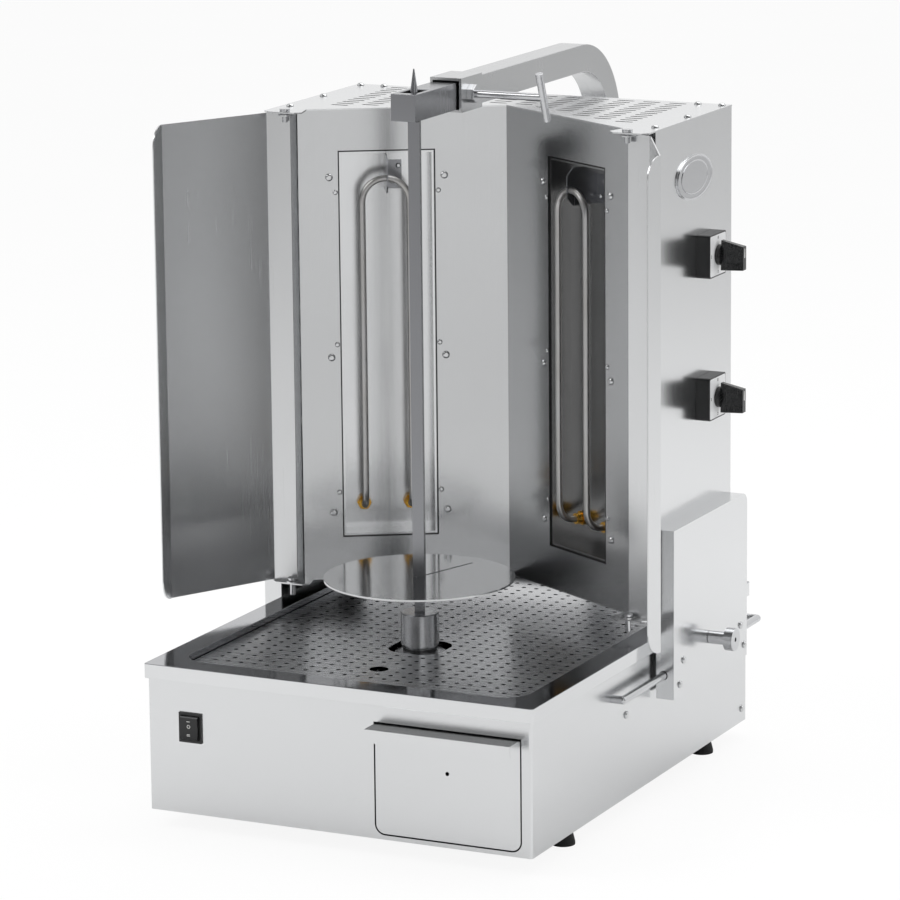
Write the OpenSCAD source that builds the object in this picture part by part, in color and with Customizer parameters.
// Electric doner kebab grill: a base cabinet with a motor driven spit, an overhead arm and a sliding V housing
// with two tubular heaters. Millimetres, +Z up, the rest surface at z = 0, the front towards -Y.

/* [Sheet metal and fits] */
// Thickness of the cabinet and housing sheet
sheet = 1.5; // [1:0.1:1.8]
// Thickness of the heater trays and the small brackets
thin_sheet = 1; // [0.8:0.1:1.4]
// Width of the folded flanges
flange_w = 12; // [8:1:14]
// Fold radius of the cabinet corners in plan
fold_r = 3; // [2.2:0.2:5]
// Gap between pieces that move past each other
run_gap = 0.3; // [0.2:0.05:0.5]
// Radial clearance of shafts and pins in their bores
bore_gap = 0.05; // [0.03:0.01:0.1]
// Radial clearance of screws in their holes
hole_gap = 0.2; // [0.1:0.05:0.4]

/* [Base cabinet] */
// Width over the deck rim
base_w = 440; // [400:5:480]
// Depth over the deck rim
base_d = 571; // [540:5:640]
// Height from the cabinet's underside to the top of the rim
base_h = 155.5; // [140:0.5:190]
// Height of the rim's turned-down lip
rim_lip = 15.5; // [10:0.5:16.5]
// Gap between the lip and the cabinet walls
rim_gap = 1.5; // [1:0.1:3]
// Height of the rubber feet
foot_h = 19; // [12:1:30]
// Diameter of a foot at its base
foot_d = 25; // [22:1:36]
// Diameter of a foot at its top
foot_top_d = 19; // [17:1:22]
// Distance of the feet from the side walls
foot_side = 19; // [19:1:60]
// Distance of the front feet from the front wall
foot_front = 116.5; // [40:0.5:130]
// Distance of the rear feet from the rear wall
foot_rear = 81.5; // [40:0.5:120]
// Margin of the removable rear panel
rear_margin = 6; // [4:1:10]

/* [Deck and drip plate] */
// Width of the rim beside the basin
basin_side = 27; // [24:1:40]
// Width of the rim in front of the basin
basin_front = 27.5; // [24:0.5:50]
// Width of the rim behind the basin
basin_rear = 60.5; // [40:0.5:90]
// Depth of the basin
basin_depth = 14.5; // [11:0.5:18]
// Corner radius of the basin
basin_r = 28; // [15:1:40]
// Height of the drip plate above the basin's floor
plate_rise = 7.3; // [5:0.1:9]
// Gap round the drip plate
plate_gap = 1.5; // [1:0.1:3]
// Diameter of the drip plate's holes
drip_hole_d = 5; // [3:0.5:7]
// Pitch of the drip plate's holes
drip_pitch = 15; // [12:0.5:22]
// Plain margin at the sides of the drip plate
drip_margin = 16; // [8:1:30]
// Plain margin at the front of the drip plate
drip_front = 38.5; // [20:0.5:50]
// Diameter of the finger hole
finger_d = 20; // [16:1:26]
// Distance of the finger hole from the plate's front edge
finger_front = 71.8; // [55:0.1:90]
// Side of the cut-out round the hub
hub_cut_w = 60; // [57:1:70]
// Corner radius of the cut-out round the hub
hub_cut_r = 20; // [8:1:24]
// Diameter of the drain spout
drain_d = 16; // [10:1:24]

/* [Drive] */
// Distance of the hub's axis from the cabinet's front wall
hub_back = 194.5; // [175:0.5:215]
// Diameter of the drive hub
hub_d = 40; // [34:1:46]
// Height of the drive hub
hub_h = 36.5; // [30:0.5:44]
// Depth of the hub's underside below the deck rim
hub_sink = 5.5; // [4:0.5:6]
// Depth of the square socket
socket_depth = 29; // [20:1:30]
// Diameter of the drive shaft
shaft_d = 15; // [12:1:20]
// Width of the gearbox
gear_w = 80; // [60:1:86]
// Depth of the gearbox
gear_d = 100; // [80:1:120]
// Height of the gearbox
gear_h = 60; // [45:1:66]
// Height of the gearbox's underside above the cabinet's underside
gear_z = 60; // [45:1:66]
// Diameter of the motor
motor_d = 70; // [50:1:76]
// Length of the motor
motor_l = 110; // [80:1:140]
// Thickness of the motor bracket
bracket_t = 3; // [2:0.5:4]
// Diameter of the bearing's flange
bearing_d = 54; // [44:1:56]

/* [Spit] */
// Side of the square skewer
spit_w = 12; // [10:0.5:12.5]
// Turn of the square skewer about its axis
spit_turn = 18; // [0:1:45]
// Side of the square neck in the hub
neck_w = 9.5; // [8:0.5:9.5]
// Height of the skewer's shoulder above the hub
neck_rise = 13.5; // [10:0.5:20]
// Height of the meat disc above the hub
disc_rise = 35.5; // [30:0.5:60]
// Diameter of the meat disc
disc_d = 200; // [150:5:210]
// Thickness of the meat disc
disc_t = 2; // [1.5:0.5:4]
// Width of the slit in the disc
slit_w = 3; // [2:0.5:5]
// Direction of the slit
slit_turn = 72; // [0:1:180]
// Diameter of the collar under the disc
collar_d = 30; // [24:1:40]
// Diameter of the skewer's turned end
journal_d = 9; // [7:0.5:10]
// Reach of the point above the arm bar
tip_rise = 23; // [15:1:40]

/* [Drawer] */
// Distance of the drawer's right edge from the cabinet's right side
drawer_side = 12.6; // [10:0.1:16]
// Width of the drawer front
drawer_w = 160.7; // [150:0.1:165]
// Height of the drawer front
drawer_h = 115; // [95:0.5:119]
// Height of the drawer front's lower edge
drawer_z = 6; // [5:0.5:10]
// Gap round the drawer front
drawer_gap = 1.5; // [1:0.1:2.5]
// Radius of the drawer front's lower corners
drawer_r = 10; // [4:1:20]
// Reach of the pull lip in front of the wall
pull_reach = 24.5; // [18:0.5:32]
// Height of the pull lip's turned-down edge
pull_h = 14; // [8:1:20]
// Depth of the drawer tray
tray_d = 380; // [250:5:440]
// Height of the drawer tray
tray_h = 60; // [40:1:62]

/* [Mains switch] */
// Distance of the switch's centre from the cabinet's left side
rocker_side = 49.5; // [30:0.5:80]
// Height of the switch's centre
rocker_z = 92.2; // [60:0.1:110]
// Width of the switch bezel
bezel_w = 26; // [22:1:32]
// Height of the switch bezel
bezel_h = 31.5; // [29:0.5:40]

/* [Overhead arm] */
// Side of the arm bar
bar_w = 28; // [24:1:28.5]
// Wall of the arm bar
bar_wall = 2; // [1.5:0.5:3]
// Reach of the arm bar in front of the skewer
bar_nose = 26; // [20:1:40]
// Side of the sleeve
sleeve_w = 36; // [35:0.5:40]
// Side of the arm tube, which is also the sleeve's inside
tube_w = 30; // [29.5:0.5:32]
// Wall of the arm tube
tube_wall = 2; // [1.5:0.5:3]
// Distance from the skewer to the sleeve
sleeve_back = 73; // [60:1:90]
// Length of the sleeve
sleeve_l = 50; // [45:1:60]
// Gap between the top cover and the sleeve
arm_gap = 12.2; // [8:0.1:25]
// Centre-line radius of the tube's bends
bend_r = 89; // [70:1:95]
// Gap between the deck rim and the post behind it
post_gap = 86.5; // [80:0.5:110]
// Height of the arm's lower run above the cabinet's underside
arm_low_z = 75; // [50:1:80]
// Diameter of the clamp screw and its tommy bar
clamp_d = 8; // [6:0.5:9]
// Reach of the clamp screw from the sleeve
clamp_reach = 83.3; // [60:0.1:110]
// Length of the tommy bar
tommy_l = 55; // [40:1:56]
// Tilt of the tommy bar
tommy_tilt = 21; // [0:1:60]

/* [Housing] */
// Clearance between the housing's sides and the deck rim
housing_over = 1; // [0.6:0.1:3]
// Clearance between the deck rim and the housing's floor
housing_lift = 21; // [18:0.5:30]
// Height of the housing
housing_h = 513; // [480:1:600]
// Depth of the housing from its front corners to its back
housing_d = 204.7; // [195:0.1:220]
// Distance from the hub's axis to the bottom of the V
vee_back = 222.2; // [215:0.1:235]
// Depth of the V
vee_depth = 113.9; // [105:0.1:118]
// Width of the strip beside the V
strip_w = 29.7; // [26:0.1:34]
// Width of the cover's ears
ear_w = 44; // [42:1:46]
// Reach of the ears in front of the housing
ear_reach = 23.3; // [22:0.1:26]
// Length of a slot in the top cover
slot_l = 20; // [12:1:24]
// Width of a slot in the top cover
slot_w = 4; // [2:0.5:6]
// Pitch of the slots across the cover
slot_pitch_x = 30; // [27:1:40]
// Pitch of the slots along the cover
slot_pitch_y = 13; // [10:0.5:20]

/* [Heaters] */
// Distance from the bottom of the V to the window
window_u = 78; // [70:1:82]
// Width of the window
window_w = 101; // [95:1:104]
// Height of the window
window_h = 418.5; // [400:0.5:430]
// Height of the window above the housing's floor
window_rise = 48; // [40:0.5:56]
// Depth of the heater tray
recess_d = 28; // [25:0.5:34]
// Gap between a tray and its window
tray_gap = 1.3; // [0.3:0.1:1.5]
// Diameter of the heater tube
heater_d = 7; // [6:0.5:8.5]
// Distance between the legs of a heater
heater_pitch = 50.5; // [44:0.5:56]
// Distance of the heater's axis in front of the panel
heater_out = 7; // [4:0.5:9]
// Gap from the window's top to the heater's top
heater_drop = 24.5; // [20:0.5:40]
// Height of the glands above the window's lower edge
gland_rise = 31.5; // [22:0.5:50]
// Radius of the heater's lower bends
heater_bend_r = 19; // [16:0.5:20]

/* [Wings] */
// Distance of the hinge pins from the housing's sides
pin_side = 24; // [22:0.5:26]
// Distance of the hinge pins in front of the housing
pin_front = 17.3; // [16.5:0.1:18.5]
// Diameter of the hinge pins
pin_d = 6; // [5:0.5:7]
// Width of a wing's main panel
wing_w = 133.6; // [110:0.1:145]
// Width of a wing's end flange
wing_flange = 24; // [15:0.5:30]
// Swing of a wing's panel from straight ahead
wing_turn = 27.3; // [10:0.1:40]
// Turn of a wing's end flange from straight ahead
wing_flange_turn = -7.9; // [-40:0.1:10]
// Radius of the end flange's corners
wing_corner_r = 22; // [5:1:23]
// Gap between the wings and the top cover
wing_top_gap = 1.5; // [0.5:0.1:3]

/* [Skirts and guide rods] */
// Thickness of a skirt
skirt_t = 20; // [18:0.5:30]
// Depth of a skirt
skirt_d = 202.5; // [195:0.5:204]
// Height of a skirt
skirt_h = 181.5; // [165:0.5:200]
// Reach of a skirt below the housing's floor
skirt_drop = 87; // [80:0.5:100]
// Radius of the skirt's upper rear corner
skirt_r = 12; // [4:1:30]
// Diameter of the guide rods
rod_d = 8.5; // [7:0.5:10]
// Distance of the guide rods from the cabinet's sides
rod_out = 12; // [11:0.5:14]
// Height of the guide rods below the deck rim
rod_drop = 40.5; // [38:0.5:50]
// Distance of the guide rods' front ends from the cabinet's front wall
rod_front = 198.5; // [150:0.5:200]
// Length of the guide rods
rod_l = 367; // [360:1:368]
// Length of a guide block along its rod
guide_l = 24; // [20:1:30]
// Height of a guide block
guide_h = 40; // [38:1:44]

/* [Knobs] */
// Diameter of the lock knob
lock_d = 24.5; // [20:0.5:32]
// Thickness of the lock knob
lock_t = 10; // [7:0.5:14]
// Diameter of the lock knob's stem
lock_stem_d = 14; // [10:0.5:18]
// Length of the lock knob's stem
lock_stem_l = 19.5; // [12:0.5:24]
// Diameter of the lock screw
lock_screw_d = 8; // [6:0.5:8]
// Distance of the lock knob behind the skirt's front edge
lock_back = 97.5; // [60:0.5:130]
// Height of the lock knob below the deck rim
lock_drop = 20.8; // [20.5:0.1:24]
// Width of a switch block
block_w = 45; // [38:1:50]
// Height of a switch block
block_h = 46; // [40:1:56]
// Depth of a switch block
block_t = 15.5; // [10:0.5:20]
// Distance of the switches behind the housing's front edge
block_back = 130.2; // [90:0.1:150]
// Distance of the upper switch below the housing's top
upper_drop = 148; // [120:1:170]
// Distance between the switches
block_pitch = 152.5; // [100:0.5:180]
// Diameter of a knob's dial
dial_d = 30; // [24:1:36]
// Height of a knob's handle
handle_h = 32; // [24:1:36]
// Thickness of a knob's handle
handle_t = 8; // [6:0.5:12]
// Reach of a knob in front of its block
knob_reach = 30; // [20:1:36]
// Length of the badge plate
badge_l = 95; // [70:1:110]
// Height of the badge plate
badge_h = 48; // [36:1:56]

/* [Hidden] */
$fn = 64;
// Overrun of every cut
cut = 1;

// Names of all the pieces

// Cabinet: its own frame has its middle at x = 0, y = 0 and its underside at z = 0
body_w = base_w - 2 * (sheet + rim_gap);
body_d = base_d - 2 * (sheet + rim_gap);
body_h = base_h - sheet;
side_x = body_w / 2;
front_y = -body_d / 2;
rear_y = body_d / 2;
lip_z = base_h - rim_lip;
// The part's origin is under the middle of its whole length
post_y = base_d / 2 + post_gap + tube_w / 2;
base_shift = -(front_y - pull_reach + post_y + tube_w / 2) / 2;

// Basin and drip plate
basin_w = base_w - 2 * basin_side;
basin_d = base_d - basin_front - basin_rear;
basin_y = (basin_front - basin_rear) / 2;
basin_z = base_h - basin_depth;
plate_w = basin_w - 2 * plate_gap;
plate_d = basin_d - 2 * plate_gap;
plate_r = basin_r - plate_gap;
plate_z = basin_z + plate_rise;
plate_front = basin_y - plate_d / 2;
drip_cols = floor((plate_w / 2 - drip_margin) / drip_pitch + 1 / 2);
drip_rows = floor((plate_d - drip_front - drip_margin) / drip_pitch);

// Drive and spit
hub_y = front_y + hub_back;
hub_z = base_h - hub_sink;
hub_top = hub_z + hub_h;
hub_bevel = 1;
socket_w = neck_w + 2 * run_gap;
socket_z = hub_top - socket_depth;
spit_hole_w = spit_w + 2 * run_gap;
disc_z = hub_top + disc_rise;
neck_top = hub_top + neck_rise;
slit_share = 0.8;
slit_start_share = 0.1;
tip_share = 0.15;
bearing_t = 3;
bearing_boss_d = bearing_d * 2 / 3;
bearing_neck_d = bearing_d * 5 / 9;
bearing_reach = basin_depth;
shaft_reach = 6;

// Drain above the drawer
drawer_x = side_x - drawer_side - drawer_w / 2;
drain_y = hub_y - gear_d / 3;
drain_l = 12;
tray_wall = 1.2;
tray_margin = 6.3;
tray_w = drawer_w - 2 * tray_margin;
tray_rise = 3.8;
runner_x = tray_w / 2 + run_gap;
runner_h = 30;
runner_shelf = 9;
pull_hole_d = 4;
pull_hole_share = 0.62;

// Mains switch
rocker_x = -side_x + rocker_side;
bezel_t = 2;
bezel_wall = 2.5;
bezel_depth = 16;
key_r = bezel_h / 2 - bezel_wall - run_gap;
key_w = bezel_w - 2 * (bezel_wall + run_gap);
key_pin_d = 3;
key_dish = 8;
key_back_share = 0.5;

// Arm
inside_gap = (tube_w - bar_w) / 2 - run_gap;
floor_z = base_h + housing_lift;
cover_top = floor_z + housing_h;
sleeve_z = cover_top + arm_gap + sleeve_w / 2;
sleeve_x = inside_gap;
bar_z = sleeve_z - inside_gap;
sleeve_y = hub_y + sleeve_back;
clamp_y = sleeve_y + sleeve_l * 2 / 5;
bar_end = sleeve_y + sleeve_l * 27 / 50;
tube_start = sleeve_y + sleeve_l * 7 / 10;
bar_slot_w = sqrt(2) * spit_w + 5 * run_gap;
bar_slot_more = 12;
bar_slot_l = bar_slot_w + bar_slot_more;
bar_plug = 3;
shoulder_gap = 3;
spit_shoulder = bar_z - bar_w / 2 - shoulder_gap;
journal_set = 5;
journal_top = bar_z + bar_w / 2 - journal_set;
tip_z = bar_z + bar_w / 2 + tip_rise;
nut_flats = 17;
nut_t = 8;
flange_side = 84;
flange_t = 4;
flange_collar = 3;
flange_y = rear_y + sheet;
bolt_inset = 12;

// Housing: panels stand on the floor and carry the top cover
house_x = base_w / 2 + housing_over;
panel_z = floor_z + sheet;
panel_top = cover_top - sheet;
panel_h = panel_top - panel_z;
vee_y = hub_y + vee_back;
house_front = vee_y - vee_depth;
house_rear = house_front + housing_d;
vee_x = house_x - strip_w;
vee_turn = atan2(vee_depth, vee_x);
vee_l = sqrt(vee_x * vee_x + vee_depth * vee_depth);
ear_y = house_front - ear_reach;
ear_r = 6;
slot_margin = 14;
vent_rows = 12;
vent_w = 120;
vent_share = 0.6;

// Windows, trays and heaters in a panel's own frame: u along the panel, depth behind it
window_z = floor_z + window_rise;
window_top = window_z + window_h;
window_mid = window_u + window_w / 2;
heater_top = window_top - heater_drop;
heater_r = heater_pitch / 2;
heater_shift = 1.75;
heater_mid = window_mid + heater_shift;
arch_z = heater_top - heater_d / 2 - heater_r;
gland_z = window_z + gland_rise;
tray_flange = 14;
gland_d = 12;
gland_flats = 14;
gland_thread_d = 9.6;
gland_l = 6;
gland_hex = 7;
gland_tail = 5;
terminal_l = 16;
terminal_share = 0.7;
clip_w = 18;
clip_h = 31;
clip_nose = 5;
clip_bevel = 8;
clip_screw_share = [[0.41, 0.27], [0.8, 0.8]];
clip_rise = 20;
clip_top = heater_top + clip_rise;
clip_low = heater_top - clip_rise;

// Screws: head diameter, head height, shank radius
big_head = [8, 2.6, 2];
small_head = [5.5, 1.8, 1.2];
m6_head = [11, 4, 3];
screw_l = 6;
screw_inset = 11;
big_screw_u = [window_u - screw_inset, window_u + window_w + screw_inset];
screw_share = [0.141, 0.5235, 0.857];
small_share = [0.103, 0.497, 0.884];
small_inset = small_head[0] / 2 + small_head[1];

// Wings
pin_x = house_x - pin_side;
pin_y = house_front - pin_front;
pin_r = pin_d / 2;
pin_reach = 10;
pin_drop = 12.5;
wing_z = floor_z + sheet + run_gap;
wing_h = panel_top - wing_top_gap - wing_z;
tab_r = 7.5;
strip_in = 1.7;
strip_back = 7.4;
strip_front = 3.7;

// Skirts and rods
rod_x = side_x + rod_out;
rod_z = base_h - rod_drop;
rod_start = front_y + rod_front;
skirt_y = house_front + run_gap * 4;
skirt_z = floor_z - skirt_drop;
guide_gap = 9;
guide_front_y = skirt_y + guide_gap;
guide_rear_y = skirt_y + skirt_d - sheet - guide_l;
skirt_x = house_x + skirt_t;
lock_y = skirt_y + lock_back;
lock_z = base_h - lock_drop;
lock_nut_flats = 13;
lock_nut_t = 7;

// Switches
block_y = house_front + block_back;
upper_z = cover_top - upper_drop;
lower_z = upper_z - block_pitch;
block_r = 3;
contact_w = 38;
contact_l = 34;
knob_shaft_d = 6;
dial_t = 4;
handle_share = 0.82;
badge_y = house_front + block_back * 0.77;
badge_z = upper_z + block_h * 1.87;
badge_t = 1.2;
badge_end_r = badge_h / 3;

// Cable gland on the rear panel
gland_x = -side_x * 0.7;
cable_z = base_h / 4;
cable_thread_d = 18;
cable_hex = 24;
cable_bore_d = 9;

// Moves the cabinet's frame to the part's origin
module placed() {
  translate([0, base_shift, foot_h]) children();
}

// Mirrors a right-hand piece to the left
module on_side(side) {
  mirror([side < 0 ? 1 : 0, 0, 0]) children();
}

// Puts a piece in the frame of the right or left inner panel
module on_vee(side) {
  on_side(side) translate([0, vee_y, 0]) rotate([0, 0, -vee_turn]) children();
}

// A block from its lowest and highest corners
module block(low, high) {
  translate(low) cube([high[0] - low[0], high[1] - low[1], high[2] - low[2]]);
}

// A centred rectangle with true arcs at its corners
module round_rect(w, d, r) {
  square([w, d - 2 * r], center = true);
  square([w - 2 * r, d], center = true);
  for (x = [-1, 1], y = [-1, 1]) translate([x * (w / 2 - r), y * (d / 2 - r)]) circle(r);
}

// A centred box with rounded upright corners
module round_box(w, d, h, r) {
  linear_extrude(h) round_rect(w, d, r);
}

// A ring-shaped sheet: the wall of a rounded box
module round_wall(w, d, h, r, wall) {
  linear_extrude(h) difference() {
    round_rect(w, d, r);
    round_rect(w - 2 * wall, d - 2 * wall, max(r - wall, wall / 2));
  }
}

// A hexagonal prism with a bore, along +Z
module hex_nut(flats, h, bore_r) {
  difference() {
    cylinder(d = flats / cos(30), h = h, $fn = 6);
    translate([0, 0, -cut]) cylinder(r = bore_r, h = h + 2 * cut);
  }
}

// A domed screw along -Z: its head stands above z = 0, its shank goes below
module screw(head, l) {
  rotate_extrude() polygon([
    [0, -l], [head[2], -l], [head[2], 0], [head[0] / 2, 0], [head[0] / 2, head[1] * 0.35],
    [head[0] * 0.4, head[1] * 0.75], [head[0] * 0.24, head[1]], [0, head[1]]
  ]);
}

// The hole of a screw along -Z
module screw_hole(head, l) {
  translate([0, 0, -l]) cylinder(r = head[2] + hole_gap, h = l + cut);
}

// Places of the feet
function foot_places() = [
  for (x = [-1, 1], y = [front_y + foot_front, rear_y - foot_rear]) [x * (side_x - foot_side), y]
];

// Places of the screws in the cabinet's sides: distance from the front wall as a share, height as a share
side_screw_share = [[0.414, 0.573], [0.976, 0.097]];
function side_screws() = [for (s = side_screw_share) [front_y + s[0] * body_d, s[1] * base_h]];

// Places of the rear panel's screws
function rear_screws() = [
  for (x = [-1, 1], z = [2 * rear_margin, lip_z - 2 * rear_margin]) [x * (side_x - 2 * rear_margin), z]
];

// Places of the arm flange's bolts
function arm_bolts() = [
  for (x = [-1, 1], z = [-1, 1])
    [sleeve_x + x * (flange_side / 2 - bolt_inset), arm_low_z + z * (flange_side / 2 - bolt_inset)]
];

module drawer_outline(grow) {
  w = drawer_w + 2 * grow;
  h = drawer_h + 2 * grow;
  r = drawer_r + grow;
  translate([drawer_x, drawer_z + drawer_h / 2]) union() {
    translate([0, r / 2]) square([w, h - r], center = true);
    translate([0, -h / 2 + r / 2]) square([w - 2 * r, r], center = true);
    for (x = [-1, 1]) translate([x * (w / 2 - r), -h / 2 + r]) circle(r);
  }
}

// An outline in x and z, extruded along +Y from y
module upright(y, t) {
  translate([0, y + t, 0]) rotate([90, 0, 0]) linear_extrude(t) children();
}

module base_body() {
  placed() color("#d6d7d8") difference() {
    union() {
      round_wall(body_w, body_d, body_h, fold_r, sheet);
      for (z = [sheet, body_h - sheet]) translate([0, 0, z])
        round_wall(body_w - sheet, body_d - sheet, sheet, fold_r, flange_w);
    }
    upright(front_y - cut, sheet + 2 * cut) drawer_outline(drawer_gap);
    block([rocker_x - bezel_w / 2 + bezel_wall / 2, front_y - cut, rocker_z - bezel_h / 2 + bezel_wall / 2],
          [rocker_x + bezel_w / 2 - bezel_wall / 2, front_y + sheet + cut, rocker_z + bezel_h / 2 - bezel_wall / 2]);
    block([-side_x + 2 * flange_w, rear_y - sheet - cut, 2 * flange_w],
          [side_x - 2 * flange_w, rear_y + cut, lip_z - 2 * flange_w]);
    for (s = [-1, 1], p = side_screws()) translate([s * side_x, p[0], p[1]]) rotate([0, s * 90, 0])
      screw_hole(big_head, screw_l);
    for (p = rear_screws()) translate([p[0], rear_y, p[1]]) rotate([-90, 0, 0]) screw_hole(big_head, screw_l);
  }
}

module base_bottom() {
  w = body_w - 2 * (sheet + run_gap);
  d = body_d - 2 * (sheet + run_gap);
  placed() color("#bfc1c3") difference() {
    round_box(w, d, sheet, fold_r);
    for (p = foot_places()) translate([p[0], p[1], sheet]) screw_hole(m6_head, sheet + cut);
    for (i = [-vent_rows / 4:vent_rows / 4]) translate([-side_x / 2, i * 2 * flange_w, sheet / 2])
      cube([3 * flange_w, flange_w / 3, 2 * sheet], center = true);
  }
}

module rear_panel() {
  placed() color("#c6c8ca") difference() {
    block([-side_x + rear_margin, rear_y, rear_margin], [side_x - rear_margin, rear_y + sheet, lip_z - rear_margin / 2]);
    for (p = rear_screws()) translate([p[0], rear_y + sheet, p[1]]) rotate([-90, 0, 0])
      screw_hole(big_head, sheet + cut);
    for (p = arm_bolts()) translate([p[0], rear_y + sheet, p[1]]) rotate([-90, 0, 0])
      screw_hole(m6_head, sheet + cut);
    translate([gland_x, rear_y + sheet, cable_z]) rotate([-90, 0, 0])
      translate([0, 0, -sheet - cut]) cylinder(d = cable_thread_d + 2 * hole_gap, h = sheet + 2 * cut);
    for (i = [0:vent_rows / 2]) translate([side_x / 2, rear_y + sheet / 2, 2 * flange_w + i * flange_w])
      cube([vent_w * 3 / 4, 2 * sheet, flange_w / 4], center = true);
  }
}

module deck_pan() {
  placed() color("#c9cbcd") difference() {
    union() {
      translate([0, 0, base_h - sheet]) linear_extrude(sheet) difference() {
        round_rect(base_w, base_d, fold_r);
        translate([0, basin_y]) round_rect(basin_w, basin_d, basin_r);
      }
      translate([0, 0, lip_z]) round_wall(base_w, base_d, rim_lip, fold_r, sheet);
      translate([0, basin_y, basin_z - sheet]) {
        round_wall(basin_w + 2 * sheet, basin_d + 2 * sheet, basin_depth + sheet, basin_r + sheet, sheet);
        round_box(basin_w + 2 * sheet, basin_d + 2 * sheet, sheet, basin_r + sheet);
      }
      translate([drawer_x, drain_y, basin_z - sheet - drain_l]) cylinder(d = drain_d + 2 * sheet, h = drain_l + sheet);
    }
    translate([drawer_x, drain_y, basin_z - sheet - drain_l - cut]) cylinder(d = drain_d, h = drain_l + sheet + 2 * cut);
    translate([0, hub_y, basin_z - sheet - cut]) cylinder(d = bearing_neck_d + 2 * hole_gap, h = sheet + 2 * cut);
  }
}

module rubber_feet() {
  shank = m6_head[2] + hole_gap;
  recess = m6_head[0] / 2 + 2 * hole_gap;
  recess_h = foot_h / 2;
  placed() color("#1c1c1d") for (p = foot_places()) translate([p[0], p[1], -foot_h]) rotate_extrude() polygon([
    [recess, 0], [foot_d / 2, 0], [foot_d / 2, foot_h * 0.16], [foot_top_d / 2, foot_h * 0.8],
    [foot_top_d / 2, foot_h], [shank, foot_h], [shank, recess_h], [recess, recess_h]
  ]);
}

module foot_screws() {
  l = foot_h / 2 + sheet;
  placed() color("#9a9c9e") for (p = foot_places()) translate([p[0], p[1], 0]) {
    translate([0, 0, -foot_h / 2]) mirror([0, 0, 1]) screw(m6_head, l + m6_head[1]);
    translate([0, 0, sheet]) cylinder(d = m6_head[0], h = m6_head[1], $fn = 6);
  }
}

module guide_rod(side) {
  placed() on_side(side) color("#b9bbbd") {
    translate([rod_x, rod_start, rod_z]) rotate([-90, 0, 0]) cylinder(d = rod_d, h = rod_l);
    for (y = [rod_start, rod_start + rod_l]) translate([rod_x, y, rod_z]) {
      sphere(d = rod_d);
      rotate([0, -90, 0]) cylinder(d = rod_d, h = rod_out);
    }
  }
}

module left_guide_rod() guide_rod(-1);

module right_guide_rod() guide_rod(1);

module gear_motor() {
  placed() color("#6f7478") translate([0, hub_y, gear_z]) difference() {
    union() {
      block([-gear_w / 2, -gear_d / 2, 0], [gear_w / 2, gear_d / 2, gear_h]);
      translate([0, gear_d / 2, gear_h / 2]) rotate([-90, 0, 0]) {
        cylinder(d = motor_d * 0.8, h = motor_l);
        translate([0, 0, motor_l / 6]) cylinder(d = motor_d, h = motor_l * 2 / 3);
      }
    }
    translate([0, 0, shaft_reach - bore_gap]) cylinder(d = shaft_d + 2 * bore_gap, h = gear_h);
  }
}

module motor_bracket() {
  half = gear_w * 0.43;
  deep = gear_d / 2;
  placed() color("#a7aaad") translate([0, hub_y, 0]) {
    block([-half - bracket_t, -deep, gear_z - bracket_t], [half + bracket_t, deep, gear_z]);
    for (s = [-1, 1]) on_side(s) {
      block([half, -deep, sheet], [half + bracket_t, deep, gear_z]);
      block([half, -deep, sheet], [half + 3 * bracket_t, deep, sheet + bracket_t]);
    }
  }
}

module hub_bearing() {
  placed() color("#8d9194") translate([0, hub_y, basin_z]) difference() {
    union() {
      cylinder(d = bearing_d, h = bearing_t);
      cylinder(d = bearing_boss_d, h = hub_z - basin_z - run_gap);
      translate([0, 0, -bearing_reach]) cylinder(d = bearing_neck_d, h = bearing_reach + bearing_t);
    }
    translate([0, 0, -bearing_reach - cut]) cylinder(d = shaft_d + 2 * bore_gap, h = 2 * bearing_reach + hub_z);
  }
}

module drawer_runners() {
  placed() color("#b4b6b8") difference() {
    for (s = [-1, 1]) translate([drawer_x, front_y + 2 * flange_w, 0]) on_side(s) {
      block([runner_x, 0, sheet], [runner_x + thin_sheet, tray_d, sheet + runner_h]);
      block([runner_x - runner_shelf, 0, drawer_z + tray_rise - run_gap - thin_sheet],
            [runner_x + thin_sheet, tray_d, drawer_z + tray_rise - run_gap]);
    }
    for (p = foot_places()) translate([p[0], p[1], sheet - cut])
      cylinder(d = m6_head[0] + 2 * sheet, h = m6_head[1] + run_gap + cut);
  }
}

module rocker_bezel() {
  placed() color("#161617") translate([rocker_x, front_y, rocker_z]) difference() {
    union() {
      block([-bezel_w / 2, -bezel_t, -bezel_h / 2], [bezel_w / 2, 0, bezel_h / 2]);
      block([-bezel_w / 2 + bezel_wall * 3 / 4, -bezel_t, -bezel_h / 2 + bezel_wall * 3 / 4],
            [bezel_w / 2 - bezel_wall * 3 / 4, bezel_depth, bezel_h / 2 - bezel_wall * 3 / 4]);
    }
    block([-bezel_w / 2 + bezel_wall, -bezel_t - cut, -bezel_h / 2 + bezel_wall],
          [bezel_w / 2 - bezel_wall, bezel_depth - bezel_t, bezel_h / 2 - bezel_wall]);
    rotate([0, 90, 0]) cylinder(d = key_pin_d + 2 * bore_gap, h = bezel_w - bezel_wall, center = true);
  }
}

module terminal_block() {
  l = 5 * flange_w;
  placed() color("#e4e2da") translate([gland_x - l / 2, rear_y - 5 * flange_w, sheet]) difference() {
    block([0, 0, 0], [l, 2 * flange_w, flange_w * 3 / 2]);
    for (i = [0:4]) translate([(i + 1 / 2) * flange_w, flange_w, flange_w / 2])
      cylinder(d = flange_w / 3, h = 2 * flange_w);
  }
}

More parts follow.
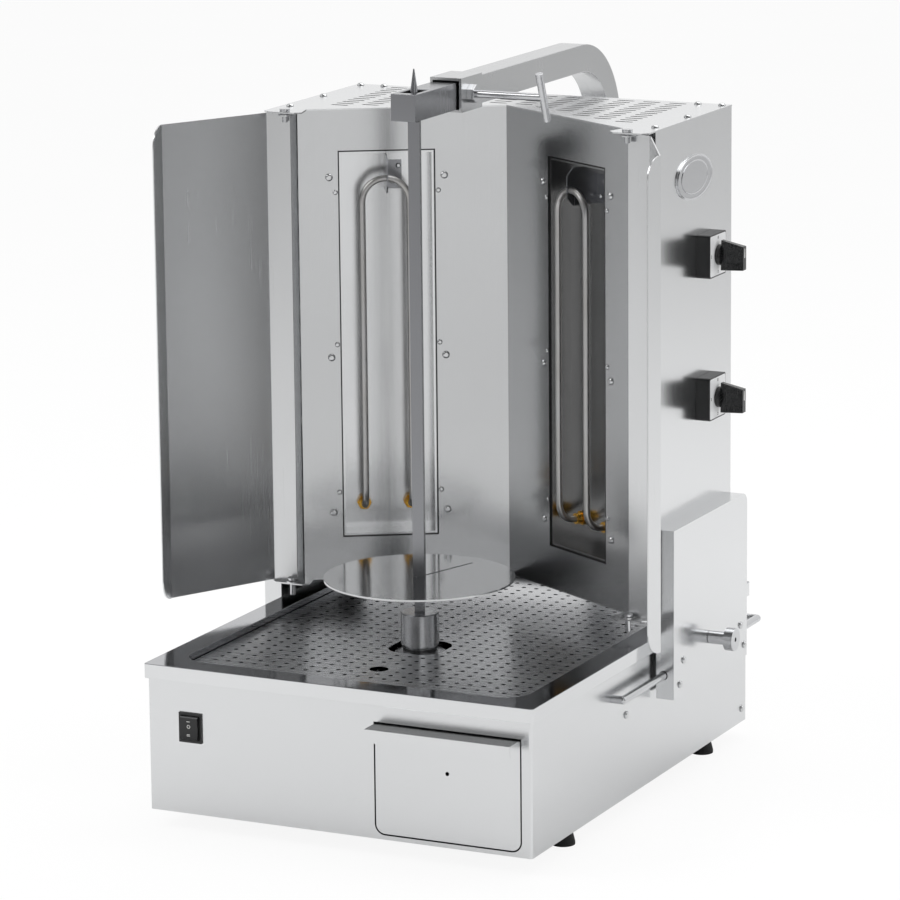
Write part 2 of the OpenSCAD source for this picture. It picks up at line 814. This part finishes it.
module cable_gland() {
  placed() color("#202021") translate([gland_x, rear_y, cable_z]) rotate([-90, 0, 0]) difference() {
    union() {
      translate([0, 0, -2 * flange_w / 3]) cylinder(d = cable_thread_d, h = 2 * flange_w / 3 + sheet);
      translate([0, 0, sheet]) cylinder(d = cable_hex / cos(30), h = flange_w / 2, $fn = 6);
      translate([0, 0, sheet]) cylinder(d1 = cable_thread_d, d2 = cable_thread_d * 0.8, h = flange_w * 3 / 2);
    }
    translate([0, 0, -flange_w]) cylinder(d = cable_bore_d, h = 4 * flange_w);
  }
}

module base_screws() {
  placed() color("#c4c6c8") {
    for (s = [-1, 1], p = side_screws()) translate([s * side_x, p[0], p[1]]) rotate([0, s * 90, 0])
      screw(big_head, screw_l);
    for (p = rear_screws()) translate([p[0], rear_y + sheet, p[1]]) rotate([-90, 0, 0]) screw(big_head, screw_l);
    for (p = arm_bolts()) translate([p[0], flange_y + flange_t, p[1]]) rotate([-90, 0, 0])
      screw(m6_head, flange_t + 2 * sheet);
  }
}

module tube_ring() {
  difference() {
    square(tube_w, center = true);
    square(tube_w - 2 * tube_wall, center = true);
  }
}

module arm_tube() {
  bend_y = post_y - bend_r;
  top_z = sleeve_z - bend_r;
  low_z = arm_low_z + bend_r;
  placed() color("#c2c4c6") translate([sleeve_x, 0, 0]) {
    translate([0, bend_y, sleeve_z]) rotate([90, 0, 0]) linear_extrude(bend_y - tube_start) tube_ring();
    translate([0, bend_y, top_z]) rotate([0, -90, 0]) rotate_extrude(angle = 90) translate([bend_r, 0]) tube_ring();
    translate([0, post_y, low_z]) linear_extrude(top_z - low_z) tube_ring();
    translate([0, bend_y, low_z]) rotate([0, -90, 0]) rotate([0, 0, 90]) rotate_extrude(angle = 90)
      translate([bend_r, 0]) tube_ring();
    translate([0, bend_y, arm_low_z]) rotate([90, 0, 0]) linear_extrude(bend_y - flange_y - flange_t) tube_ring();
  }
}

module arm_sleeve() {
  placed() color("#b6b8ba") difference() {
    translate([sleeve_x, sleeve_y + sleeve_l, sleeve_z]) rotate([90, 0, 0]) linear_extrude(sleeve_l) difference() {
      square(sleeve_w, center = true);
      square(tube_w, center = true);
    }
    translate([sleeve_x, clamp_y, sleeve_z]) rotate([0, 90, 0]) cylinder(d = clamp_d + 2 * hole_gap, h = sleeve_w);
  }
}

module sleeve_nut() {
  placed() color("#aeb0b2") translate([sleeve_x + sleeve_w / 2, clamp_y, sleeve_z]) rotate([0, 90, 0])
    hex_nut(nut_flats, nut_t, clamp_d / 2 + bore_gap);
}

module arm_flange() {
  collar_w = tube_w + 2 * flange_collar;
  placed() color("#b0b2b4") translate([sleeve_x, flange_y, arm_low_z]) difference() {
    union() {
      block([-flange_side / 2, 0, -flange_side / 2], [flange_side / 2, flange_t, flange_side / 2]);
      block([-collar_w / 2, 0, -collar_w / 2], [collar_w / 2, 2 * flange_t, collar_w / 2]);
    }
    block([-tube_w / 2, flange_t, -tube_w / 2], [tube_w / 2, 2 * flange_t + cut, tube_w / 2]);
    for (x = [-1, 1], z = [-1, 1])
      translate([x * (flange_side / 2 - bolt_inset), flange_t, z * (flange_side / 2 - bolt_inset)])
        rotate([-90, 0, 0]) screw_hole(m6_head, flange_t + cut);
  }
}

module drive_hub() {
  placed() color("#a2a5a8") translate([0, hub_y, 0]) difference() {
    translate([0, 0, hub_z]) rotate_extrude() polygon([
      [0, 0], [hub_d / 2 - hub_bevel, 0], [hub_d / 2, hub_bevel], [hub_d / 2, hub_h - hub_bevel],
      [hub_d / 2 - hub_bevel, hub_h], [0, hub_h]
    ]);
    rotate([0, 0, spit_turn]) translate([0, 0, socket_z + socket_depth])
      cube([socket_w, socket_w, 2 * socket_depth], center = true);
  }
}

module drive_shaft() {
  low = gear_z + shaft_reach;
  placed() color("#85898c") translate([0, hub_y, low]) cylinder(d = shaft_d, h = hub_z - low);
}

module skewer() {
  placed() color("#b5b7b9") translate([0, hub_y, 0]) rotate([0, 0, spit_turn]) {
    translate([0, 0, socket_z + run_gap]) linear_extrude(neck_top - socket_z - run_gap) square(neck_w, center = true);
    translate([0, 0, neck_top]) linear_extrude(spit_shoulder - neck_top) square(spit_w, center = true);
    translate([0, 0, spit_shoulder]) cylinder(d = journal_d, h = journal_top - spit_shoulder);
    translate([0, 0, journal_top]) cylinder(d1 = journal_d, d2 = journal_d * tip_share, h = tip_z - journal_top);
  }
}

module meat_disc() {
  r = disc_d / 2;
  placed() color("#c8cacc") translate([0, hub_y, disc_z]) linear_extrude(disc_t) difference() {
    circle(r, $fn = 128);
    rotate(spit_turn) square(spit_hole_w, center = true);
    rotate(slit_turn) translate([slit_start_share * r, -slit_w / 2]) square([(slit_share - slit_start_share) * r, slit_w]);
  }
}

module disc_collar() {
  placed() color("#9fa2a5") translate([0, hub_y, neck_top]) difference() {
    cylinder(d = collar_d, h = disc_z - neck_top);
    rotate([0, 0, spit_turn]) translate([0, 0, (disc_z - neck_top) / 2])
      cube([spit_hole_w, spit_hole_w, disc_z - neck_top + 2 * cut], center = true);
  }
}

module arm_bar() {
  placed() color("#b1b3b5") difference() {
    block([-bar_w / 2, hub_y - bar_nose, bar_z - bar_w / 2], [bar_w / 2, bar_end, bar_z + bar_w / 2]);
    block([-bar_w / 2 + bar_wall, hub_y - bar_nose + bar_plug, bar_z - bar_w / 2 + bar_wall],
          [bar_w / 2 - bar_wall, bar_end + cut, bar_z + bar_w / 2 - bar_wall]);
    block([-bar_slot_w / 2, hub_y - bar_slot_l / 2, bar_z - bar_w],
          [bar_slot_w / 2, hub_y + bar_slot_l / 2, bar_z + bar_w]);
  }
}

module clamp_screw() {
  tommy_x = sleeve_x + sleeve_w / 2 + clamp_reach;
  start = bar_w / 2 + run_gap;
  placed() color("#bcbec0") translate([0, clamp_y, sleeve_z]) {
    translate([start, 0, 0]) rotate([0, 90, 0]) cylinder(d = clamp_d, h = tommy_x - start);
    translate([tommy_x, 0, 0]) rotate([tommy_tilt, 0, 0]) cylinder(d = clamp_d, h = tommy_l, center = true);
  }
}

module drawer_tray() {
  w = tray_w - 2 * run_gap;
  placed() color("#bdbfc1") translate([drawer_x, front_y + sheet, drawer_z + tray_rise]) difference() {
    block([-w / 2, 0, 0], [w / 2, tray_d, tray_h]);
    block([-w / 2 + tray_wall, tray_wall, tray_wall], [w / 2 - tray_wall, tray_d - tray_wall, tray_h + cut]);
  }
}

module drawer_front() {
  top = drawer_z + drawer_h;
  placed() color("#cdcfd0") difference() {
    union() {
      upright(front_y, sheet) drawer_outline(0);
      block([drawer_x - drawer_w / 2, front_y - pull_reach, top - sheet], [drawer_x + drawer_w / 2, front_y + sheet, top]);
      block([drawer_x - drawer_w / 2, front_y - pull_reach, top - pull_h],
            [drawer_x + drawer_w / 2, front_y - pull_reach + sheet, top]);
    }
    translate([drawer_x, front_y, drawer_z + drawer_h * pull_hole_share]) rotate([90, 0, 0])
      cylinder(d = pull_hole_d, h = 4 * sheet, center = true);
  }
}

module drip_holes() {
  clear = hub_cut_w / 2 + drip_hole_d;
  far = finger_d / 2 + drip_hole_d;
  finger_y = plate_front + finger_front;
  for (i = [-drip_cols:drip_cols - 1], j = [0:drip_rows]) {
    x = (i + 1 / 2) * drip_pitch;
    y = plate_front + drip_front + j * drip_pitch;
    at_hub = abs(x) < clear && abs(y - hub_y) < clear;
    at_finger = norm([x, y - finger_y]) < far;
    if (!at_hub && !at_finger) translate([x, y]) circle(d = drip_hole_d, $fn = 24);
  }
  translate([0, finger_y]) circle(d = finger_d);
}

module drip_plate() {
  placed() color("#3c3e40") {
    translate([0, 0, plate_z - thin_sheet]) linear_extrude(thin_sheet) difference() {
      translate([0, basin_y]) round_rect(plate_w, plate_d, plate_r);
      translate([0, hub_y]) round_rect(hub_cut_w, hub_cut_w, hub_cut_r);
      drip_holes();
    }
    translate([0, basin_y, basin_z + run_gap])
      round_wall(plate_w, plate_d, plate_z - basin_z - run_gap, plate_r, thin_sheet);
  }
}

module rocker_key() {
  placed() color("#222224") translate([rocker_x, front_y, rocker_z]) {
    intersection() {
      rotate([0, 90, 0]) cylinder(r = key_r, h = key_w, center = true);
      union() {
        for (s = [-1, 1]) rotate([s * key_dish, 0, 0])
          block([-key_w / 2, -key_r / 3, s > 0 ? -cut : -key_r], [key_w / 2, key_r * key_back_share, s > 0 ? key_r : cut]);
      }
    }
    rotate([0, 90, 0]) cylinder(d = key_pin_d, h = bezel_w - bezel_wall - 2 * run_gap, center = true);
  }
}

function big_screws() = [for (u = big_screw_u, s = screw_share) [u, panel_top - s * panel_h]];
function small_screws() = [
  for (u = [window_u - small_inset, window_u + window_w + small_inset], s = small_share) [u, window_top - s * window_h]
];

// Places of a clip's screws: the clip's foot points to the right of both windows as seen from the front
function clip_screws(side) = [
  for (s = clip_screw_share) [window_mid + side * s[0] * clip_w, clip_low + s[1] * clip_h]
];

// Cuts a screw's hole through a panel and the tray's flange behind it
module vee_screw_holes() {
  for (p = big_screws()) translate([p[0], 0, p[1]]) rotate([90, 0, 0]) screw_hole(big_head, screw_l);
  for (p = small_screws()) translate([p[0], 0, p[1]]) rotate([90, 0, 0]) screw_hole(small_head, screw_l);
}

module inner_panel(side) {
  placed() on_vee(side) color("#a8aaac") difference() {
    block([0, 0, panel_z], [vee_l, sheet, panel_top]);
    block([window_u, -cut, window_z], [window_u + window_w, sheet + cut, window_top]);
    vee_screw_holes();
  }
}

module left_inner_panel() inner_panel(-1);

module right_inner_panel() inner_panel(1);

// Places of the screws in the top cover: x from the housing's side, y as a share of the housing's depth
cover_inset_share = [0.045, 0.036, 0.158, 0.032];
cover_share = [0.106, 0.504, 0.956, 0.951];
function cover_places() = [
  for (i = [0:3]) [house_x * (1 - cover_inset_share[i]), house_front + cover_share[i] * housing_d]
];

module side_panel(side) {
  in_x = house_x - sheet;
  placed() on_side(side) color("#cfd1d2") difference() {
    union() {
      block([in_x, house_front, panel_z], [house_x, house_rear, panel_top]);
      block([house_x - strip_w + sheet, house_front, panel_z], [house_x, house_front + sheet, panel_top]);
      block([in_x - flange_w, house_rear - 2 * sheet, panel_z], [house_x, house_rear - sheet, panel_top]);
      for (z = [panel_z, panel_top - sheet])
        block([in_x - flange_w, house_front, z], [house_x, house_rear - sheet, z + sheet]);
    }
    if (side > 0) for (z = [upper_z, lower_z]) translate([in_x - cut, block_y, z]) rotate([0, 90, 0])
      cylinder(d = 2 * knob_shaft_d, h = sheet + 2 * cut);
    for (p = cover_places()) translate([p[0], p[1], panel_top]) screw_hole(big_head, screw_l);
  }
}

module left_side_panel() side_panel(-1);

module right_side_panel() side_panel(1);

module housing_back() {
  in_x = house_x - sheet;
  placed() color("#c3c5c7") difference() {
    union() {
      block([-in_x, house_rear - sheet, panel_z], [in_x, house_rear, panel_top]);
      for (z = [panel_z, panel_top - sheet])
        block([-in_x + flange_w + 2 * run_gap, house_rear - sheet - flange_w, z],
              [in_x - flange_w - 2 * run_gap, house_rear, z + sheet]);
    }
    for (x = [-1, 1], i = [1:vent_rows])
      translate([x * house_x / 2, house_rear, panel_z + panel_h * (1 - vent_share) / 2 + i * panel_h * vent_share / vent_rows])
        cube([vent_w, 4 * sheet, slot_w], center = true);
    for (s = [-1, 1], p = cover_places()) translate([s * p[0], p[1], panel_top]) screw_hole(big_head, screw_l);
  }
}

// Outline shared by the top cover and the floor: the V in front, an ear at each front corner
module house_outline(over) {
  ear_in = house_x - ear_w;
  ear_root = vee_y - (ear_in + ear_r) * vee_depth / vee_x;
  polygon([
    [0, vee_y], [ear_in + ear_r, ear_root], [ear_in, ear_y + ear_r], [ear_in + ear_r, ear_y],
    [house_x + over - ear_r, ear_y], [house_x + over, ear_y + ear_r], [house_x + over, house_rear + over],
    [-house_x - over, house_rear + over], [-house_x - over, ear_y + ear_r], [-house_x - over + ear_r, ear_y],
    [-ear_in - ear_r, ear_y], [-ear_in, ear_y + ear_r], [-ear_in - ear_r, ear_root]
  ]);
}

// Slots of the top cover, wherever they lie behind the V
module cover_slots() {
  cols = floor((house_x - slot_margin - slot_l / 2) / slot_pitch_x);
  rows = floor((housing_d - 2 * slot_margin) / slot_pitch_y);
  for (i = [-cols:cols - 1], j = [0:rows]) {
    x = (i + 1 / 2) * slot_pitch_x;
    y = house_rear - slot_margin - j * slot_pitch_y;
    edge = vee_y - (abs(x) - slot_l / 2) * vee_depth / vee_x;
    near = [for (p = cover_places()) if (abs(abs(x) - p[0]) < slot_l && abs(y - p[1]) < 2 * slot_w) 1];
    if (y > edge + slot_margin && len(near) == 0) translate([x, y]) {
      square([slot_l - slot_w, slot_w], center = true);
      for (e = [-1, 1]) translate([e * (slot_l - slot_w) / 2, 0]) circle(d = slot_w, $fn = 16);
    }
  }
}

module top_cover() {
  placed() color("#dcdddd") difference() {
    translate([0, 0, panel_top]) linear_extrude(sheet) difference() {
      house_outline(run_gap);
      cover_slots();
    }
    for (s = [-1, 1]) translate([s * pin_x, pin_y, panel_top - cut]) cylinder(r = pin_r + bore_gap, h = sheet + 2 * cut);
    for (s = [-1, 1], p = cover_places()) translate([s * p[0], p[1], cover_top]) screw_hole(big_head, 2 * sheet);
  }
}

module housing_floor() {
  placed() color("#b9bbbd") difference() {
    translate([0, 0, floor_z]) linear_extrude(sheet) house_outline(0);
    for (s = [-1, 1]) translate([s * pin_x, pin_y, floor_z - cut]) cylinder(r = pin_r + bore_gap, h = sheet + 2 * cut);
  }
}

module heater_tray(side) {
  u0 = window_u + tray_gap;
  u1 = window_u + window_w - tray_gap;
  z0 = window_z + tray_gap;
  z1 = window_top - tray_gap;
  placed() on_vee(side) color("#b3b5b7") difference() {
    union() {
      block([window_u - tray_flange, sheet, window_z - tray_flange],
            [window_u + window_w + tray_flange, sheet + thin_sheet, window_top + tray_flange]);
      block([u0, sheet, z0], [u1, recess_d, z1]);
    }
    block([u0 + thin_sheet, -cut, z0 + thin_sheet], [u1 - thin_sheet, recess_d - thin_sheet, z1 - thin_sheet]);
    vee_screw_holes();
    for (p = clip_screws(side)) translate([p[0], recess_d, p[1]]) rotate([90, 0, 0])
      screw_hole(small_head, screw_l / 2);
    for (p = clip_screws(side)) translate([p[0], recess_d, p[1]]) rotate([90, 0, 0])
      cylinder(r = small_head[2] + hole_gap, h = screw_l / 2);
    for (s = [-1, 1]) translate([heater_mid + s * heater_r, 0, gland_z]) rotate([-90, 0, 0])
      cylinder(d = gland_thread_d + 2 * hole_gap, h = recess_d + cut);
  }
}

module left_heater_tray() heater_tray(-1);

module right_heater_tray() heater_tray(1);

module heater(side) {
  bend_z = gland_z + heater_bend_r;
  placed() on_vee(side) color("#8f9193") translate([heater_mid, -heater_out, 0]) {
    translate([0, 0, arch_z]) rotate([90, 0, 0]) rotate_extrude(angle = 180) translate([heater_r, 0]) circle(d = heater_d);
    for (s = [-1, 1]) translate([s * heater_r, 0, 0]) {
      translate([0, 0, bend_z]) cylinder(d = heater_d, h = arch_z - bend_z);
      translate([0, heater_bend_r, bend_z]) rotate([0, -90, 0]) rotate([0, 0, 180]) rotate_extrude(angle = 90)
        translate([heater_bend_r, 0]) circle(d = heater_d);
      translate([0, heater_bend_r, gland_z]) rotate([-90, 0, 0])
        cylinder(d = heater_d, h = recess_d + gland_tail + terminal_l * terminal_share + heater_out - heater_bend_r);
    }
  }
}

module left_heater() heater(-1);

module right_heater() heater(1);

// An angle bracket on the tray's back: its web holds the heater's arch
module heater_clips() {
  back = recess_d - thin_sheet;
  nose = -heater_out - clip_nose;
  placed() color("#9c9ea0") for (side = [-1, 1]) on_vee(side) {
    difference() {
      translate([window_mid - sheet / 2, 0, 0]) rotate([90, 0, 90]) linear_extrude(sheet) polygon([
        [back, clip_low], [back, clip_top], [nose + clip_bevel, clip_top], [nose, clip_top - clip_bevel],
        [nose, clip_low + clip_bevel], [nose + clip_bevel, clip_low]
      ]);
      translate([heater_mid, -heater_out, arch_z]) rotate([90, 0, 0]) rotate_extrude(angle = 180)
        translate([heater_r, 0]) circle(d = heater_d + 2 * bore_gap);
    }
    difference() {
      block([min(window_mid, window_mid + side * clip_w), back - thin_sheet, clip_low],
            [max(window_mid, window_mid + side * clip_w), back, clip_low + clip_h]);
      for (p = clip_screws(side)) translate([p[0], back, p[1]]) rotate([90, 0, 0]) screw_hole(small_head, screw_l);
      for (p = clip_screws(side)) translate([p[0], back, p[1]]) rotate([90, 0, 0])
        cylinder(r = small_head[2] + hole_gap, h = screw_l);
    }
  }
}

module heater_glands() {
  back = recess_d - thin_sheet;
  placed() color("#d9b24c") for (side = [-1, 1], s = [-1, 1]) on_vee(side)
    translate([heater_mid + s * heater_r, back, gland_z]) rotate([-90, 0, 0]) {
      difference() {
        union() {
          translate([0, 0, -gland_hex - gland_l]) cylinder(d = gland_d, h = gland_l);
          translate([0, 0, -gland_hex]) cylinder(d = gland_flats / cos(30), h = gland_hex, $fn = 6);
          cylinder(d = gland_thread_d, h = thin_sheet + gland_tail);
        }
        translate([0, 0, -recess_d]) cylinder(d = heater_d + 2 * bore_gap, h = 2 * recess_d);
      }
      translate([0, 0, thin_sheet]) hex_nut(gland_flats, gland_tail - thin_sheet, gland_thread_d / 2 + bore_gap);
    }
}

module heater_terminals() {
  placed() color("#ebe8df") for (side = [-1, 1]) on_vee(side) difference() {
    block([heater_mid - heater_r - gland_d, recess_d + gland_tail, gland_z - gland_d],
          [heater_mid + heater_r + gland_d, recess_d + gland_tail + terminal_l, gland_z + gland_d]);
    for (s = [-1, 1]) translate([heater_mid + s * heater_r, recess_d, gland_z]) rotate([-90, 0, 0])
      cylinder(d = heater_d + 2 * bore_gap, h = gland_tail + terminal_l * 4 / 5);
  }
}

module housing_screws() {
  placed() color("#cfd0d1") {
    for (side = [-1, 1]) on_vee(side) {
      for (p = big_screws()) translate([p[0], 0, p[1]]) rotate([90, 0, 0]) screw(big_head, screw_l);
      for (p = small_screws()) translate([p[0], 0, p[1]]) rotate([90, 0, 0]) screw(small_head, screw_l * 2 / 3);
      for (p = clip_screws(side)) translate([p[0], recess_d - 2 * thin_sheet, p[1]]) rotate([90, 0, 0])
        screw(small_head, screw_l / 2);
    }
    for (s = [-1, 1], p = cover_places()) translate([s * p[0], p[1], cover_top]) screw(big_head, screw_l);
  }
}

module hinge_pins() {
  placed() color("#b3b5b7") for (s = [-1, 1]) translate([s * pin_x, pin_y, 0]) {
    translate([0, 0, panel_top - pin_reach]) cylinder(r = pin_r, h = pin_reach + sheet);
    translate([0, 0, cover_top]) cylinder(d = m6_head[0], h = m6_head[1] * 3 / 4);
    translate([0, 0, floor_z - pin_drop]) cylinder(r = pin_r, h = pin_drop + 2 * (sheet + run_gap) + sheet);
    translate([0, 0, floor_z + 2 * (sheet + run_gap)]) cylinder(d = m6_head[0], h = m6_head[1] * 3 / 4);
  }
}

// A four-centred oval
module oval(l, h, end_r) {
  a = l / 2;
  b = h / 2;
  side_r = ((a - end_r) * (a - end_r) + b * b - end_r * end_r) / (2 * (b - end_r));
  touch_x = (a - end_r) * side_r / (side_r - end_r);
  intersection() {
    translate([0, side_r - b]) circle(side_r, $fn = 180);
    translate([0, b - side_r]) circle(side_r, $fn = 180);
    square([2 * touch_x, h], center = true);
  }
  for (s = [-1, 1]) translate([s * (a - end_r), 0]) circle(end_r);
}

module badge_plate() {
  placed() color("#d5d7d9") translate([house_x, badge_y, badge_z]) rotate([90, 0, 90])
    linear_extrude(badge_t) oval(badge_l, badge_h, badge_end_r);
}

module switch_blocks() {
  placed() color("#19191a") for (z = [upper_z, lower_z]) translate([house_x, block_y, z]) rotate([90, 0, 90])
    linear_extrude(block_t) difference() {
      round_rect(block_w, block_h, block_r);
      circle(d = knob_shaft_d + 2 * bore_gap);
    }
}

module contact_blocks() {
  placed() color("#2b2b2d") for (z = [upper_z, lower_z]) translate([house_x - sheet, block_y, z]) rotate([0, -90, 0])
    difference() {
      translate([-contact_w / 2, -contact_w / 2, 0]) cube([contact_w, contact_w, contact_l]);
      translate([0, 0, -cut]) cylinder(d = 2 * knob_shaft_d, h = flange_w / 2);
    }
}

module skirt_outline(inset) {
  d = skirt_d - 2 * inset;
  h = skirt_h - 2 * inset;
  r = skirt_r - inset;
  translate([skirt_y + inset, skirt_z + inset]) union() {
    square([d, h - r]);
    square([d - r, h]);
    translate([d - r, h - r]) circle(r);
  }
}

// Places of the screws that hold the guide blocks, as shares of a block's length and height
guide_screw_share = [[[0.72, 0.3], [0.3, -0.3]], [[0.73, -0.3], [0.3, 0.3]]];
function guide_screws() = [
  for (i = [0, 1], s = guide_screw_share[i])
    [(i == 0 ? guide_front_y : guide_rear_y) + s[0] * guide_l, rod_z + s[1] * guide_h]
];

module skirt(side) {
  placed() on_side(side) color("#d3d5d6") difference() {
    translate([house_x, 0, 0]) rotate([90, 0, 90]) linear_extrude(skirt_t) skirt_outline(0);
    translate([house_x - cut, 0, 0]) rotate([90, 0, 90]) linear_extrude(skirt_t - sheet + cut) union() {
      skirt_outline(sheet);
      translate([skirt_y + sheet, skirt_z - cut]) square([skirt_d - 2 * sheet, skirt_h / 2]);
    }
    translate([rod_x, skirt_y - cut, rod_z]) rotate([-90, 0, 0]) cylinder(d = rod_d + 4 * run_gap, h = skirt_d + 2 * cut);
    if (side > 0) translate([house_x, lock_y, lock_z]) rotate([0, 90, 0])
      cylinder(d = lock_screw_d + 2 * hole_gap, h = skirt_t + cut);
    for (p = guide_screws()) translate([skirt_x, p[0], p[1]]) rotate([0, 90, 0]) screw_hole(big_head, 2 * sheet);
  }
}

module left_skirt() skirt(-1);

module right_skirt() skirt(1);

module guide_blocks() {
  placed() color("#232324") for (side = [-1, 1], y = [guide_front_y, guide_rear_y]) on_side(side) difference() {
    block([house_x + run_gap, y, rod_z - guide_h / 2], [skirt_x - sheet, y + guide_l, rod_z + guide_h / 2]);
    translate([rod_x, y - cut, rod_z]) rotate([-90, 0, 0]) cylinder(d = rod_d + 2 * bore_gap, h = guide_l + 2 * cut);
    for (p = guide_screws()) translate([skirt_x, p[0], p[1]]) rotate([0, 90, 0]) screw_hole(big_head, screw_l + cut);
  }
}

module skirt_screws() {
  placed() color("#b8babc") for (side = [-1, 1], p = guide_screws()) on_side(side)
    translate([skirt_x, p[0], p[1]]) rotate([0, 90, 0]) screw(big_head, screw_l);
}

module lock_nut() {
  placed() color("#a9abad") translate([skirt_x - sheet - lock_nut_t, lock_y, lock_z]) rotate([0, 90, 0])
    hex_nut(lock_nut_flats, lock_nut_t, lock_screw_d / 2 + bore_gap);
}

// A strip of sheet in plan along a list of points
module folded(points, t) {
  for (i = [0:len(points) - 2]) {
    a = points[i];
    b = points[i + 1];
    translate(a) rotate(atan2(b[1] - a[1], b[0] - a[0])) translate([0, -t / 2]) square([norm(b - a), t]);
  }
  for (p = points) translate(p) circle(d = t);
}

module wing(side) {
  e = [pin_x - strip_in, pin_y + strip_back];
  f = [house_x, pin_y + strip_front];
  g = f + wing_w * [sin(wing_turn), -cos(wing_turn)];
  h = g + wing_flange * [sin(wing_flange_turn), -cos(wing_flange_turn)];
  placed() on_side(side) color("#9fa1a3") difference() {
    union() {
      translate([0, 0, wing_z]) linear_extrude(wing_h) folded([e, f, g, h], sheet);
      for (z = [wing_z, wing_z + wing_h - sheet]) translate([pin_x, pin_y, z]) {
        cylinder(r = tab_r, h = sheet);
        translate([-tab_r, 0, 0]) cube([2 * tab_r, strip_back - sheet, sheet]);
      }
    }
    for (z = [wing_z, wing_z + wing_h - sheet]) translate([pin_x, pin_y, z - cut])
      cylinder(r = pin_r + bore_gap, h = sheet + 2 * cut);
    translate([h[0], h[1], 0]) rotate([0, 0, wing_flange_turn]) for (top = [0, 1])
      translate([0, 0, wing_z + top * wing_h]) mirror([0, 0, top]) rotate([0, 90, 0])
        translate([0, 0, -2 * sheet]) linear_extrude(4 * sheet) difference() {
          translate([-wing_corner_r, -cut]) square([wing_corner_r + cut, wing_corner_r + cut]);
          translate([-wing_corner_r, wing_corner_r]) circle(wing_corner_r);
        }
  }
}

module left_wing() wing(-1);

module right_wing() wing(1);

module switch_knob(z) {
  half = handle_h / 2;
  l = knob_reach - dial_t;
  placed() color("#1d1d1f") translate([house_x, block_y, z]) rotate([0, 90, 0]) {
    translate([0, 0, run_gap]) cylinder(d = knob_shaft_d, h = block_t);
    translate([0, 0, block_t + run_gap]) {
      cylinder(d = dial_d, h = dial_t);
      translate([0, handle_t / 2, dial_t]) rotate([90, 0, 0]) linear_extrude(handle_t) polygon([
        [-half, 0], [half, 0], [half * handle_share, l], [-half * handle_share, l]
      ]);
    }
  }
}

module upper_knob() switch_knob(upper_z);

module lower_knob() switch_knob(lower_z);

module lock_knob() {
  grip = skirt_x + run_gap;
  placed() color("#c0c2c4") translate([0, lock_y, lock_z]) rotate([0, 90, 0]) difference() {
    union() {
      translate([0, 0, side_x + run_gap]) cylinder(d = lock_screw_d, h = grip - side_x - run_gap);
      translate([0, 0, grip]) cylinder(d = lock_stem_d, h = lock_stem_l);
      translate([0, 0, grip + lock_stem_l]) cylinder(d = lock_d, h = lock_t);
    }
    translate([0, 0, grip + lock_stem_l + lock_t / 2]) cylinder(d = lock_stem_d / 3, h = lock_t);
  }
}

base_body();
base_bottom();
rear_panel();
deck_pan();
rubber_feet();
foot_screws();
left_guide_rod();
right_guide_rod();
gear_motor();
motor_bracket();
hub_bearing();
drawer_runners();
rocker_bezel();
terminal_block();
cable_gland();
base_screws();
arm_tube();
arm_sleeve();
sleeve_nut();
arm_flange();
drive_hub();
drive_shaft();
skewer();
meat_disc();
disc_collar();
arm_bar();
clamp_screw();
drawer_tray();
drawer_front();
drip_plate();
rocker_key();
left_inner_panel();
right_inner_panel();
left_side_panel();
right_side_panel();
housing_back();
top_cover();
housing_floor();
left_heater_tray();
right_heater_tray();
left_heater();
right_heater();
heater_clips();
heater_glands();
heater_terminals();
housing_screws();
hinge_pins();
badge_plate();
switch_blocks();
contact_blocks();
left_skirt();
right_skirt();
guide_blocks();
skirt_screws();
lock_nut();
left_wing();
right_wing();
upper_knob();
lower_knob();
lock_knob();
